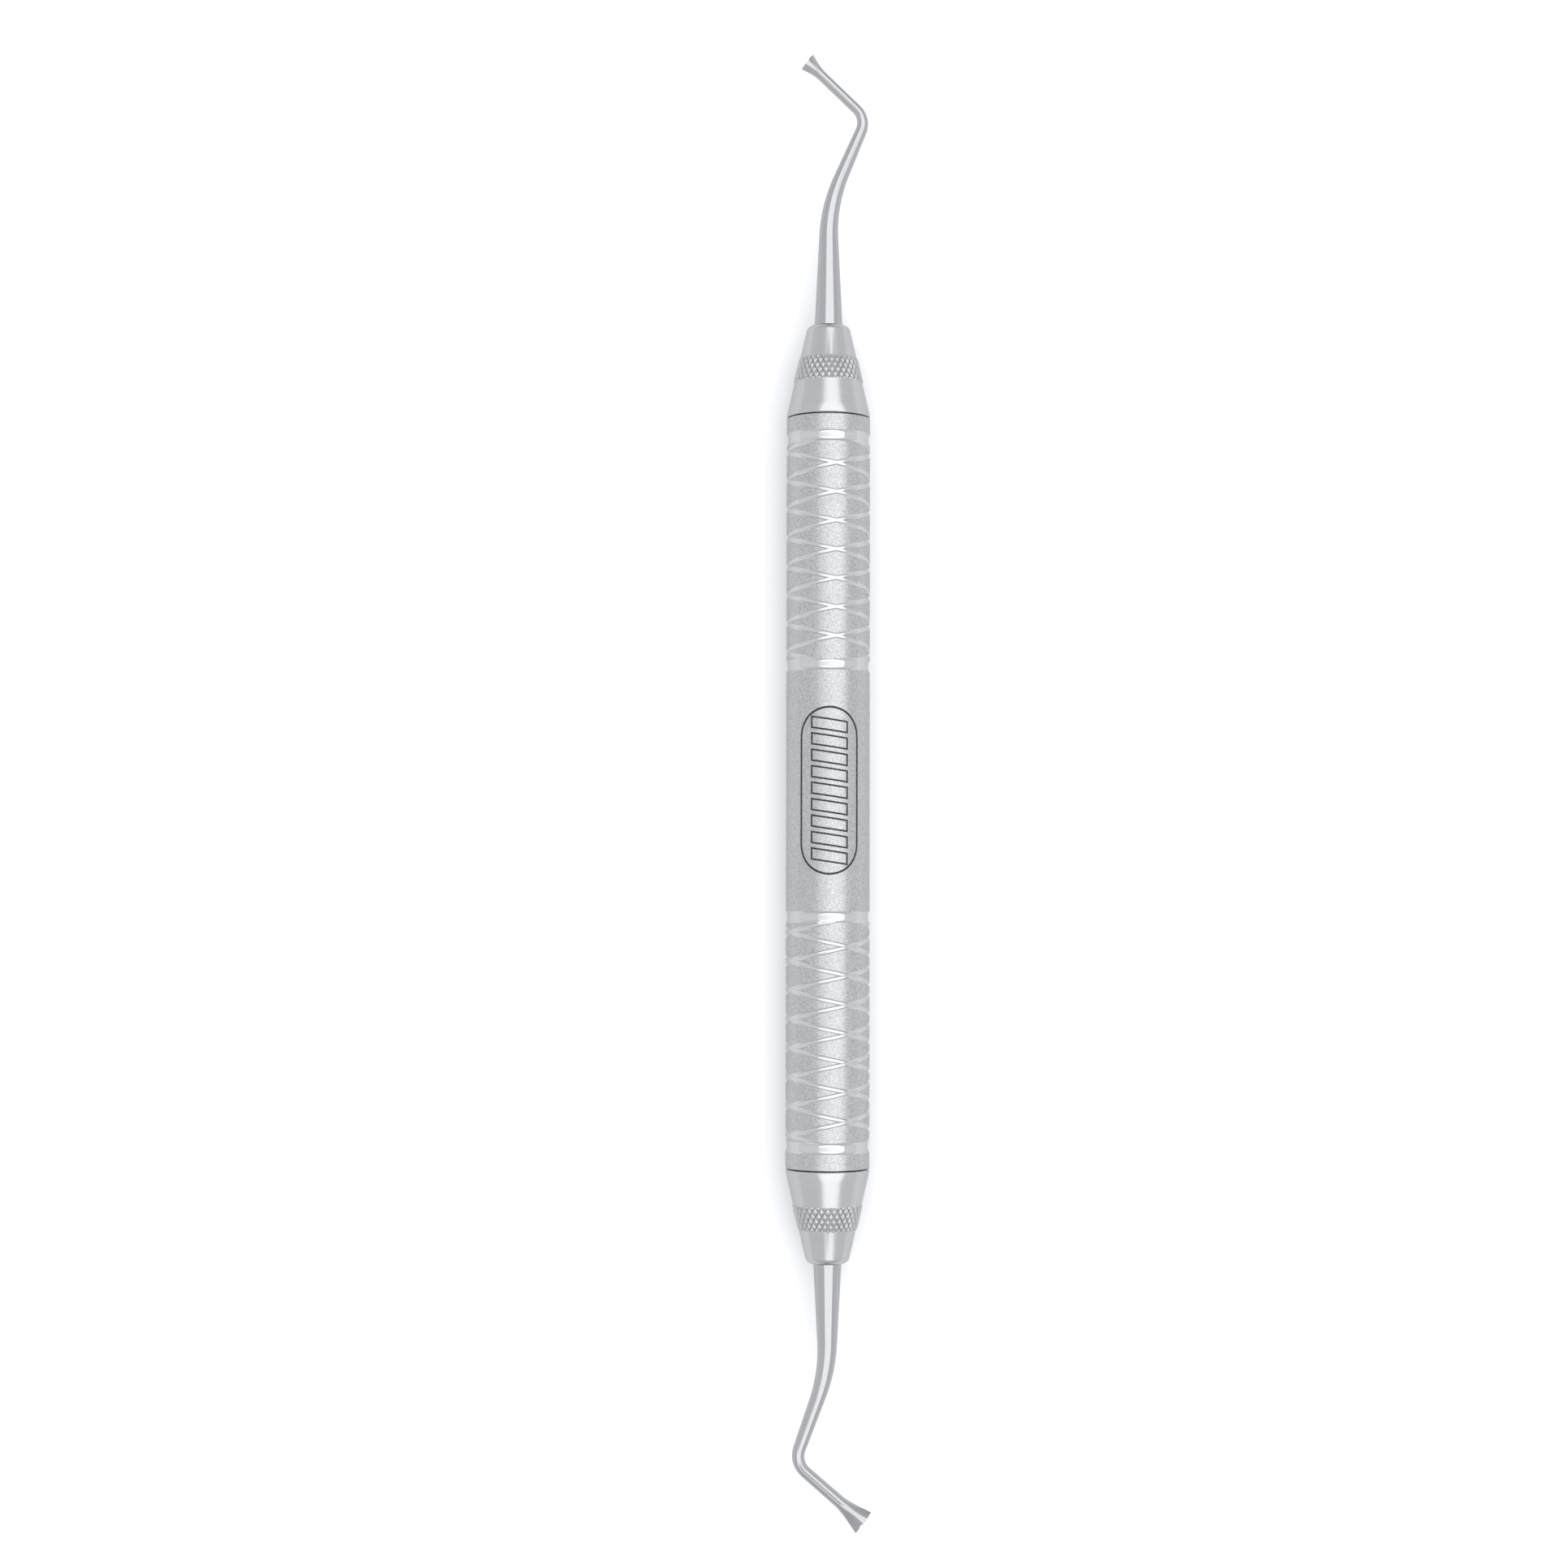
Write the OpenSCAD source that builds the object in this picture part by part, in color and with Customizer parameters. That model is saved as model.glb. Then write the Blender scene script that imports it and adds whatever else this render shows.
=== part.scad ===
// Double-ended hand instrument: a hollow handle with a working end screwed into
// each mouth. The handle lies along X, centred on the origin, and its upper end
// points along +X. Each end's own parts are drawn along local +Z, outward from
// the mouth of the handle, and then laid along +X or -X.

/* [Handle] */
// Outside diameter of the handle tube
handle_d = 9.5; // [9.1:0.1:12]
// Length of the handle tube
handle_len = 85; // [70:1:100]
// Wall thickness of the handle tube
handle_wall = 0.8; // [0.6:0.05:0.9]
// Length of the plug pressed into each mouth of the tube
plug_len = 9; // [8:0.5:14]

/* [Turned grooves] */
// Distance from the middle of the handle to each inner groove
inner_groove_x = 14.2; // [10:0.1:20]
// Distance from each mouth of the handle to its outer groove
outer_groove_inset = 2.5; // [1.5:0.1:5]
// Width of a groove at the surface
groove_w = 1.28; // [0.6:0.05:2]
// Depth of a groove
groove_depth = 0.15; // [0.05:0.01:0.25]

/* [Screw joint] */
// Major diameter of the threaded stud
stud_d = 5; // [4:0.1:5]
// Length of the stud behind the cone
stud_len = 6.3; // [5:0.1:6.8]
// Radial running clearance between stud and plug
thread_clearance = 0.05; // [0.02:0.01:0.1]
// Gap left between the cone and the mouth of the handle
seam_gap = 0.1; // [0.05:0.01:0.2]
// Thickness of the sealing ring's section
seal_section = 0.86; // [0.6:0.02:0.9]

/* [Cone socket] */
// Diameter of the cone where it meets the handle
cone_d = 9.45; // [9.3:0.05:12]
// Distance from the mouth of the handle to the cone's nose
cone_end = 10.7; // [9.5:0.1:11]
// Slope of the cone's side to its axis, in degrees
cone_slope = 13; // [10:0.5:13]
// Length of the straight land at the cone's base
cone_land = 0.25; // [0.1:0.05:1]
// Radius of the rounded nose
nose_r = 0.85; // [0.4:0.05:0.9]
// Distance from the mouth of the handle to the grip band
band_start = 4.1; // [2:0.05:4.2]
// Length of the grip band along the cone
band_len = 2.75; // [1.5:0.05:3]
// Height of the grip band above the cone
band_height = 0.13; // [0.05:0.01:0.2]

/* [Working ends] */
// Diameter of the rod that the shanks are drawn from
rod_d = 3.2; // [2.6:0.05:3.2]
// Length of the tang held inside the cone
tang_len = 6; // [4:0.5:8]
// Radius of the gentle bend above the cone
gentle_r = 18; // [12:0.5:24]
// Length of the upper shank's straight taper
upper_taper_len = 10.2; // [8:0.1:14]
// Gentle bend of the upper shank, in degrees
upper_gentle_turn = 23.3; // [15:0.1:26]
// Sharp bend of the upper shank, in degrees
upper_sharp_turn = 69.2; // [50:0.1:75]
// Width of the upper blade's edge
upper_edge_w = 2.2; // [1.6:0.05:3]
// Length of the upper blade from shank to edge
upper_blade_len = 2.35; // [1.8:0.05:4]
// Angle that the upper blade's edge leans from square
upper_edge_lean = 6.5; // [0:0.5:10]
// Length of the lower shank's straight taper
lower_taper_len = 9; // [8:0.1:14]
// Gentle bend of the lower shank, in degrees
lower_gentle_turn = 19.9; // [15:0.1:26]
// Sharp bend of the lower shank, in degrees
lower_sharp_turn = 69.1; // [50:0.1:75]
// Width of the lower blade's edge
lower_edge_w = 2.95; // [1.6:0.05:3.2]
// Length of the lower blade from shank to edge
lower_blade_len = 3.6; // [1.8:0.05:4]
// Angle that the lower blade's edge leans from square
lower_edge_lean = 4; // [0:0.5:10]

/* [Hidden] */
$fn = 96;

bore_d = handle_d - 2 * handle_wall;
mouth_x = handle_len / 2;
edge_chamfer = 0.08;
overcut = 1;

// Screw joint: the gland is a wider mouth of the hole, and the sealing ring lies in it
hole_d = stud_d + 2 * thread_clearance;
hole_runout = 0.8;
hole_depth = stud_len + hole_runout;
gland_depth = 0.85;
seal_slack = 0.07;
seal_lift = 0.02;
seal_mid_r = stud_d / 2 + seal_slack + seal_section / 2;
gland_d = 2 * (seal_mid_r + seal_section / 2) + 2 * seal_slack;
seal_z = seal_lift - gland_depth + seal_section / 2;
stud_chamfer = 0.4;

// Cone: its side is straight from the land to where the nose's arc touches it
land_z = seam_gap + edge_chamfer + cone_land;
nose_mid_z = cone_end - nose_r;
nose_touch_z = nose_mid_z + nose_r * sin(cone_slope);
nose_mid_r = cone_radius(nose_touch_z) - nose_r * cos(cone_slope);
nose_steps = 10;

// Shanks, from the cone outward: straight taper, gentle bend, middle, sharp bend, terminal.
// Each list of leg diameters gives the diameter at the outer end of the last four.
section_sides = 32;
sweep_lap = 0.3;
sweep_step = 0.02;
gentle_steps = 6;
sharp_steps = 10;
blade_steps = 8;
hollow_width_share = 0.42;
hollow_depth_share = 0.3;
upper_taper_d = 2.2;
upper_middle_len = 5.6;
upper_sharp_r = 2.3;
upper_terminal_len = 5.5;
upper_leg_ds = [1.6, 1.34, 1.16, 1.18];
upper_flare = 1.6;
lower_taper_d = 2.25;
lower_middle_len = 5.95;
lower_sharp_r = 2.4;
lower_terminal_len = 5;
lower_leg_ds = [1.72, 1.46, 1.34, 1.4];
lower_flare = 1.35;

function arc_len(r, turn) = r * turn * PI / 180;

// A leg is [length, turn, end diameter, steps]
function shank_legs(gentle_turn, middle_len, sharp_r, sharp_turn, terminal_len, ds) = [
    [arc_len(gentle_r, gentle_turn), gentle_turn, ds[0], gentle_steps],
    [middle_len, 0, ds[1], 1],
    [arc_len(sharp_r, sharp_turn), -sharp_turn, ds[2], sharp_steps],
    [terminal_len, 0, ds[3], 1]
];

upper_legs = shank_legs(upper_gentle_turn, upper_middle_len, upper_sharp_r, upper_sharp_turn,
                        upper_terminal_len, upper_leg_ds);
lower_legs = shank_legs(lower_gentle_turn, lower_middle_len, lower_sharp_r, lower_sharp_turn,
                        lower_terminal_len, lower_leg_ds);

function cone_radius(z) = cone_d / 2 - (z - land_z) * tan(cone_slope);

// A groove's cutter is a ring of round section whose cut has the stated width and depth
function cutter_r(w, depth) = (w * w / 4 + depth * depth) / (2 * depth);

// A station is [z, v, heading, diameter]: the shank bends in the plane of z and v
function leg_station(p, leg, f) =
    let (a = p[2] + leg[1] * f,
         d = p[3] + (leg[2] - p[3]) * f,
         r = leg[1] == 0 ? 0 : leg[0] / (leg[1] * PI / 180))
    leg[1] == 0
    ? [p[0] + leg[0] * f * cos(a), p[1] + leg[0] * f * sin(a), a, d]
    : [p[0] + r * (sin(a) - sin(p[2])), p[1] - r * (cos(a) - cos(p[2])), a, d];

function shank_stations(p, legs, i = 0) =
    i == len(legs)
    ? [p]
    : concat([p], [for (k = [1:1:legs[i][3] - 1]) leg_station(p, legs[i], k / legs[i][3])],
             shank_stations(leg_station(p, legs[i], 1), legs, i + 1));

// A point of a section: a is the angle round it, w and t are its width and thickness,
// and the hollow dips into the half that faces along -X
function section_point(s, a, w, t, dip_w, dip) =
    let (across = w / 2 * cos(a),
         groove = sin(a) > 0 ? dip * max(0, 1 - pow(across / dip_w, 2)) : 0,
         out = t / 2 * sin(a) - groove)
    [-out, s[1] + across * cos(s[2]), s[0] - across * sin(s[2])];

function section(s, w, t, dip_w, dip) =
    [for (i = [0:section_sides - 1]) section_point(s, 360 * i / section_sides, w, t, dip_w, dip)];

// The blade spreads from the shank's round section to its wide, hollowed edge,
// and its sections lean more and more on the way
function blade_section(p, length, edge_w, lean, flare, f) =
    let (s = leg_station(p, [length, 0, p[3], 1], f),
         grown = pow(f, flare))
    section([s[0], s[1], s[2] - lean * f], p[3] + (edge_w - p[3]) * grown, p[3],
            hollow_width_share * edge_w / 2 * sqrt(f), hollow_depth_share * p[3] * f);

module lay_out(end) {
    translate([end * mouth_x, 0, 0]) rotate([0, end * 90, 0]) children();
}

module groove_cutter(x) {
    r = cutter_r(groove_w, groove_depth);
    translate([x, 0, 0]) rotate([0, 90, 0])
        rotate_extrude() translate([handle_d / 2 + r - groove_depth, 0]) circle(r);
}

module handle_tube() {
    color("silver") difference() {
        rotate([0, 90, 0]) rotate_extrude() polygon([
            [bore_d / 2, -mouth_x],
            [handle_d / 2 - edge_chamfer, -mouth_x],
            [handle_d / 2, -mouth_x + edge_chamfer],
            [handle_d / 2, mouth_x - edge_chamfer],
            [handle_d / 2 - edge_chamfer, mouth_x],
            [bore_d / 2, mouth_x]
        ]);
        for (side = [-1, 1]) {
            groove_cutter(side * inner_groove_x);
            groove_cutter(side * (mouth_x - outer_groove_inset));
        }
    }
}

module end_plug(end) {
    color("lightgray") lay_out(end) difference() {
        translate([0, 0, -plug_len]) cylinder(h = plug_len, d = bore_d);
        translate([0, 0, -hole_depth]) cylinder(h = hole_depth + overcut, d = hole_d);
        translate([0, 0, -gland_depth]) cylinder(h = gland_depth + overcut, d = gland_d);
    }
}

module seal_ring(end) {
    color("#202022") lay_out(end) translate([0, 0, seal_z])
        rotate_extrude() translate([seal_mid_r, 0]) circle(d = seal_section);
}

module cone_profile() {
    polygon(concat(
        [
            [0, seam_gap],
            [cone_d / 2 - edge_chamfer, seam_gap],
            [cone_d / 2, seam_gap + edge_chamfer],
            [cone_d / 2, land_z],
            [cone_radius(band_start), band_start],
            [cone_radius(band_start) + band_height, band_start + band_height / 2],
            [cone_radius(band_start + band_len) + band_height, band_start + band_len - band_height / 2],
            [cone_radius(band_start + band_len), band_start + band_len]
        ],
        [
            for (i = [0:nose_steps])
                let (a = cone_slope + (90 - cone_slope) * i / nose_steps)
                [nose_mid_r + nose_r * cos(a), nose_mid_z + nose_r * sin(a)]
        ],
        [[0, cone_end]]
    ));
}

module stud_profile() {
    polygon([
        [0, -stud_len],
        [stud_d / 2 - stud_chamfer, -stud_len],
        [stud_d / 2, -stud_len + stud_chamfer],
        [stud_d / 2, seam_gap + overcut],
        [0, seam_gap + overcut]
    ]);
}

module cone_socket(end) {
    color("silver") lay_out(end) difference() {
        rotate_extrude() union() {
            cone_profile();
            stud_profile();
        }
        translate([0, 0, cone_end - tang_len]) cylinder(h = tang_len + overcut, d = rod_d);
    }
}

module swept_shank(stations, length, edge_w, lean, flare) {
    tip = stations[len(stations) - 1];
    rings = concat(
        [for (s = stations) section(s, s[3], s[3], 1, 0)],
        [for (i = [1:blade_steps])
            blade_section(tip, length, edge_w, lean, flare, i / blade_steps)]
    );
    last = len(rings) - 1;
    polyhedron(
        points = [for (r = rings) for (p = r) p],
        faces = concat(
            [[for (i = [0:section_sides - 1]) i]],
            [for (k = [0:last - 1]) for (i = [0:section_sides - 1])
                let (j = (i + 1) % section_sides, lo = k * section_sides, hi = lo + section_sides)
                [lo + i, hi + i, hi + j, lo + j]],
            [[for (i = [section_sides - 1:-1:0]) last * section_sides + i]]
        )
    );
}

// hand is -1 where the gentle bend leans to -Y, and 1 where it leans to +Y.
// The swept part starts inside the straight taper and is a shade thinner.
module working_end(end, hand, taper_len, taper_d, legs, length, edge_w, lean, flare) {
    start = [cone_end + taper_len, 0, 0, taper_d];
    rooted = concat([[start[0] - sweep_lap, 0, 0, taper_d]], shank_stations(start, legs));
    color("gainsboro") lay_out(end) union() {
        translate([0, 0, cone_end - tang_len]) cylinder(h = tang_len, d = rod_d);
        translate([0, 0, cone_end])
            cylinder(h = taper_len, d1 = rod_d, d2 = taper_d + sweep_step);
        scale([1, hand, 1]) swept_shank(rooted, length, edge_w, lean, flare);
    }
}

module upper_working_end() {
    working_end(1, -1, upper_taper_len, upper_taper_d, upper_legs,
                upper_blade_len, upper_edge_w, upper_edge_lean, upper_flare);
}

module lower_working_end() {
    working_end(-1, 1, lower_taper_len, lower_taper_d, lower_legs,
                lower_blade_len, lower_edge_w, lower_edge_lean, lower_flare);
}

handle_tube();
end_plug(1);  // upper_end_plug
end_plug(-1);  // lower_end_plug
seal_ring(1);  // upper_seal_ring
seal_ring(-1);  // lower_seal_ring
cone_socket(1);  // upper_cone_socket
cone_socket(-1);  // lower_cone_socket
upper_working_end();
lower_working_end();
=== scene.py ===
"""Looks for a double-ended hand instrument: a bead-blasted handle with turned
grooves, a knurled cone screwed into each mouth, and a polished working end in
each cone. Everything is in metres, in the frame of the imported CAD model: the
handle lies along X about the origin, and +Z faces the camera.

An angle round the handle runs from +Z toward -Y. "Out" is the distance from a
mouth of the handle toward the tip of its working end."""

import math

import bmesh
import bpy
import numpy as np
from mathutils import Matrix, Vector


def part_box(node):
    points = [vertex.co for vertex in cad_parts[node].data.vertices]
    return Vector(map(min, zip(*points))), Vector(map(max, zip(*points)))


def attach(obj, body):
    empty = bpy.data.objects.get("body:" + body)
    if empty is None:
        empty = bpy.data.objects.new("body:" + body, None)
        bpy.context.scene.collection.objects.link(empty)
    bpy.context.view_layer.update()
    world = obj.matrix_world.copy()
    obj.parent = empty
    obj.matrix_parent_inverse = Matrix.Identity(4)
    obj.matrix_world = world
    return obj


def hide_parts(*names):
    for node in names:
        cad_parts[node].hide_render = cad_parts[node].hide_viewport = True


MM = 0.001
TURN = 2 * math.pi
ENDS = {"upper": 1, "lower": -1}

# Handle
HANDLE_SIDES = 128
HANDLE_SKIN = 0.004 * MM  # how far the tube's surface lies inside its CAD box, under the mark
BORE_R = 3.95 * MM
MOUTH_CHAMFER = 0.08 * MM
INNER_RING_X = 14.2 * MM
OUTER_RING_INSET = 2.5 * MM
RING_HALF_W = 0.64 * MM
RING_FLAT = 0.2 * MM
RING_DEPTH = 0.15 * MM
RING_WALL_STEPS = 6
ZONE_BLEND = 0.4 * MM  # between a turned groove and the regular rings of the plain surface
PLAIN_STEPS = 9

# Crossed helical grooves of the two grips
GRIP_STARTS = 2
GRIP_LEAD = 6.5 * MM
GRIP_HALF_W = 0.26 * MM
GRIP_FLAT = 0.02 * MM
GRIP_DEPTH = 0.1 * MM
GRIP_WALL_STEPS = 4
GRIP_ISLAND_STEPS = 10
GRIP_CROSSING = {"upper": (17.37 * MM, 10.0), "lower": (-17.52 * MM, 27.7)}

# Etched mark
MARK_FRAME_LINE = 0.24 * MM
MARK_CELL_LINE = 0.2 * MM
MARK_SUNK = 0.02 * MM
MARK_RAISED = 0.95  # as a share of HANDLE_SKIN
MARK_ROUND_STEPS = 72
MARK_HALF_LEN = 9.35 * MM
MARK_HALF_W = 3.4 * MM
MARK_TURN = 1.3
MARK_CELLS = 9
MARK_ROW_HALF_LEN = 8.3 * MM
MARK_CELL_HEIGHT = 4.1 * MM
MARK_CELL_SHARE = 0.66  # of the step from cell to cell
MARK_LEAN = -0.6 * MM
MARK_STEP = 0.16 * MM

# Cone sockets, measured out from the mouth
CONE_R = 4.725 * MM
CONE_SLOPE = math.radians(13)
CONE_GAP = 0.1 * MM
CONE_CHAMFER = 0.08 * MM
CONE_LAND = 0.43 * MM
CONE_END = 10.7 * MM
NOSE_R = 0.85 * MM
CONE_SIDES = 128
KNURL_START = 4.1 * MM
KNURL_LEN = 2.75 * MM
KNURL_HEIGHT = 0.13 * MM
KNURL_STARTS = 32
KNURL_ROW = 0.57 * MM
KNURL_RAMP = 0.09 * MM
KNURL_BREAKS = [0.0, 0.03, 0.1, 0.3, 0.5]  # from a groove's middle, as shares of the cell
KNURL_HEIGHTS = [0.0, 0.0, 0.3, 0.86, 1.0]
# faces within this share of a knurl's groove get the darker knurl material: painted shade in the
# valleys
KNURL_GROOVE = 0.1  # half the width of a groove's floor, as a share of the cell
KNURL_BLEND = 0.15 * MM
NOSE_STEPS = 13
CONE_ROWS = 5

# Threaded stud behind each cone
STUD_R = 2.5 * MM
STUD_LEN = 6.3 * MM
STUD_CHAMFER = 0.4 * MM
THREAD_PITCH = 0.8 * MM
THREAD_DEPTH = 0.45 * MM
THREAD_ROWS_PER_PITCH = 20
THREAD_SLOPE = 2.6  # rise of a flank, in thread depths per pitch
THREAD_ROOT = 0.15  # taken off that rise, which leaves room for the root
THREAD_RUNOUT = (0.9 * MM, 0.5 * MM)  # where the thread ends, from the mouth, and how softly

# Sealing rings
SEAL_MID_R = 3.0 * MM
SEAL_SECTION_R = 0.43 * MM
SEAL_OUT = -0.4 * MM
SEAL_SHADE = 0.985
SEAL_SIDES = (32, 96)  # round its section and round the handle
SEAL_FLASH = 0.02
SEAL_FLASH_HALF_W = 0.05

# Working ends
ROD_R = 1.6 * MM
TANG_LEN = 6 * MM
GENTLE_R = 18 * MM
SHANK_SHADE = 0.994
STATION_STEP = 0.35 * MM
BEND_STEP = math.radians(3)
RIM_STEPS = 14
FACE_STEPS = 16
BLADE_STEPS = 25
ROOF_FULL = 0.8  # where along the blade its section is fully a ridged roof
HOLLOW_DEPTH = 0.4  # as a share of the blade's thickness
HOLLOW_CURVE = 1.6
NOTCH_FROM = 0.8  # where along the blade the notch starts
RIDGE_ROUNDING = 0.17  # as a share of the blade's half width
WING_CURVE = 1.25  # above 1, the blade's wings steepen toward its sides
FACE_WALL = 0.03 * MM
FACE_SLOPE = 0.09
CREASE_HALF_W = 0.07 * MM
CREASE_DEPTH = 0.06 * MM
CREASE_FIRST = 0.66  # where the crease starts, as a share of the shank's stations
CREASE_OPENING = 0.12
CREASE_END = 0.25

# Steel shines a little less where it is seen at a low angle
EDGE_TINT = (0.8, 0.8, 0.8, 1)

# Studio: the softbox's size and offsets are shares of its height above the object
STUDIO = 1.3  # brightness of the whole of it
WORLD_TINT = (0.96, 0.97, 1.0)
WORLD_LEVELS = [(0.0, 0.93), (0.6, 0.84), (0.95, 0.6)]
KEY_HEIGHT = 1.2  # metres
KEY_OFF_AXIS = 0.29
KEY_UP = 0.04
KEY_SIZE = (1.64, 2.0)
KEY_LEVEL = 0.85
KEY_STRIP_AT = 0.5
KEY_STRIP_EDGE = (0.1, 0.14)
KEY_STRIP_RISE = 0.44
KEY_STRIP_LEVELS = (0.15, 0.74)
FLOOR_HALF_W = 3.0  # metres

# Camera
CAMERA_DISTANCE = 337.8 * MM
CAMERA_TILT = 2.314
CAMERA_ROLL = 0.114
CAMERA_AIM = (0.868 * MM, 4.984 * MM, 0)
CAMERA_LENS = 68.35
SENSOR_W = 36


def shank_legs(taper, gentle_turn, mid, sharp_r, sharp_turn, terminal, diameters):
    """Legs of a shank from the cone outward, each (length, turn, diameter at its end)."""
    gentle, sharp = math.radians(gentle_turn), math.radians(sharp_turn)
    lengths = (taper, GENTLE_R * gentle, mid, sharp_r * sharp, terminal)
    turns = (0, gentle, 0, -sharp, 0)
    return list(zip(lengths, turns, diameters))


WORKING_ENDS = {
    "upper": {
        "side": -1,
        "legs": shank_legs(10.2 * MM, 23.3, 5.6 * MM, 2.3 * MM, 69.2, 5.5 * MM,
                           [2.2 * MM, 1.6 * MM, 1.34 * MM, 1.16 * MM, 1.18 * MM]),
        "blade_len": 2.35 * MM,
        "edge_w": 2.2 * MM,
        "flare": 1.6,
        "ridge": 0.22,
        "face": (-0.36 * MM, 0.3 * MM),
        "hollow": 0,
        "crease": False,
        "skew": math.radians(6.5),
        "notch": (0, 0, 0),
    },
    "lower": {
        "side": 1,
        "legs": shank_legs(9.0 * MM, 19.9, 5.95 * MM, 2.4 * MM, 69.1, 5.0 * MM,
                           [2.25 * MM, 1.72 * MM, 1.46 * MM, 1.34 * MM, 1.4 * MM]),
        "blade_len": 3.6 * MM,
        "edge_w": 2.95 * MM,
        "flare": 1.35,
        "ridge": -0.2,
        "face": (0, 0),
        "hollow": 0.5 * MM,
        "crease": True,
        "skew": math.radians(4),
        "notch": (0.4 * MM, 0.4 * MM, 0.12 * MM),
    },
}


# ---------------------------------------------------------------- mesh building


class Skin:
    """The closed surface of one turned piece, built ring by ring along its axis.
    Bands run toward +X on the outside, so that faces look outward."""

    def __init__(self):
        self.points = []
        self.faces = []
        self.slots = []

    def ring(self, x, radii, angles):
        """Adds a ring of points; radii is one number or one for each angle."""
        radii = np.broadcast_to(radii, np.shape(angles))
        first = len(self.points)
        self.points += [
            (x, -r * math.sin(a), r * math.cos(a)) for r, a in zip(radii, angles)
        ]
        return list(range(first, len(self.points)))

    def face(self, corners, slot=0):
        self.faces.append(tuple(corners))
        self.slots.append(slot)

    def band(self, low, high, slot=0):
        """Quads between two rings of the same count."""
        for i in range(len(low)):
            j = (i + 1) % len(low)
            self.face((low[i], low[j], high[j], high[i]), slot)

    def rows(self, ring, steps, angles, slot=0):
        """Bands onward from ring, one for each (x, radii) of steps. Returns the last ring."""
        for x, radii in steps:
            following = self.ring(x, radii, angles)
            self.band(ring, following, slot)
            ring = following
        return ring

    def cap(self, ring, slot=0):
        """Closes a ring with a fan about its middle, facing +X."""
        centre = np.mean([self.points[i] for i in ring], axis=0)
        self.points.append(tuple(centre))
        middle = len(self.points) - 1
        for i in range(len(ring)):
            self.face((ring[i], ring[(i + 1) % len(ring)], middle), slot)

    def angle(self, i):
        return math.atan2(-self.points[i][1], self.points[i][2]) % TURN

    def zip_rings(self, low, high, slot=0):
        """Triangles between two rings whose points sit at different angles."""
        low, high = (sorted(r, key=self.angle) for r in (low, high))
        low_at, high_at = (self.angles(r) + [self.angle(r[0]) + TURN] for r in (low, high))
        i = j = 0
        while i < len(low) or j < len(high):
            here, there = low[i % len(low)], high[j % len(high)]
            if j >= len(high) or (i < len(low) and low_at[i + 1] <= high_at[j + 1]):
                i += 1
                self.face((here, low[i % len(low)], there), slot)
            else:
                j += 1
                self.face((here, high[j % len(high)], there), slot)

    def merge(self, bm):
        """Adds a bmesh's faces, and returns the index of its first point."""
        first = len(self.points)
        bm.verts.index_update()
        self.points += [tuple(v.co) for v in bm.verts]
        for f in bm.faces:
            self.face([first + v.index for v in f.verts], f.material_index)
        return first

    def ring_at(self, x, first):
        """The points from first on that lie in the plane at x, in order of angle."""
        found = [i for i in range(first, len(self.points)) if abs(self.points[i][0] - x) < 1e-8]
        return sorted(found, key=self.angle)

    def radii(self, ring):
        return np.array([math.hypot(*self.points[i][1:]) for i in ring])

    def angles(self, ring):
        return [self.angle(i) for i in ring]


def regular(sides):
    return [TURN * i / sides for i in range(sides)]


def make_piece(name, points, faces, materials, slots=None, sharp=30):
    """A mesh object with smooth faces and sharp creases, in the row frame."""
    mesh = bpy.data.meshes.new(name)
    mesh.from_pydata([tuple(p) for p in points], [], faces)
    for material in materials:
        mesh.materials.append(material)
    if slots is not None:
        mesh.polygons.foreach_set("material_index", slots)
    mesh.polygons.foreach_set("use_smooth", [True] * len(mesh.polygons))
    mesh.set_sharp_from_angle(angle=math.radians(sharp))
    mesh.update()
    piece = bpy.data.objects.new(name, mesh)
    bpy.context.scene.collection.objects.link(piece)
    return piece


def groove_depth(distance, flat, half_w, depth):
    """Depth of a groove with a flat bottom and walls that curve up to a sharp lip."""
    rise = np.clip((np.abs(distance) - flat) / (half_w - flat), 0, 1)
    return depth * (1 - rise**2)


def unit_steps(breaks):
    """Grid steps of one lattice cell from 0 up to 1, mirrored about its middle."""
    return np.array(list(breaks) + [1 - b for b in breaks[:0:-1] if b < 0.5])


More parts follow.
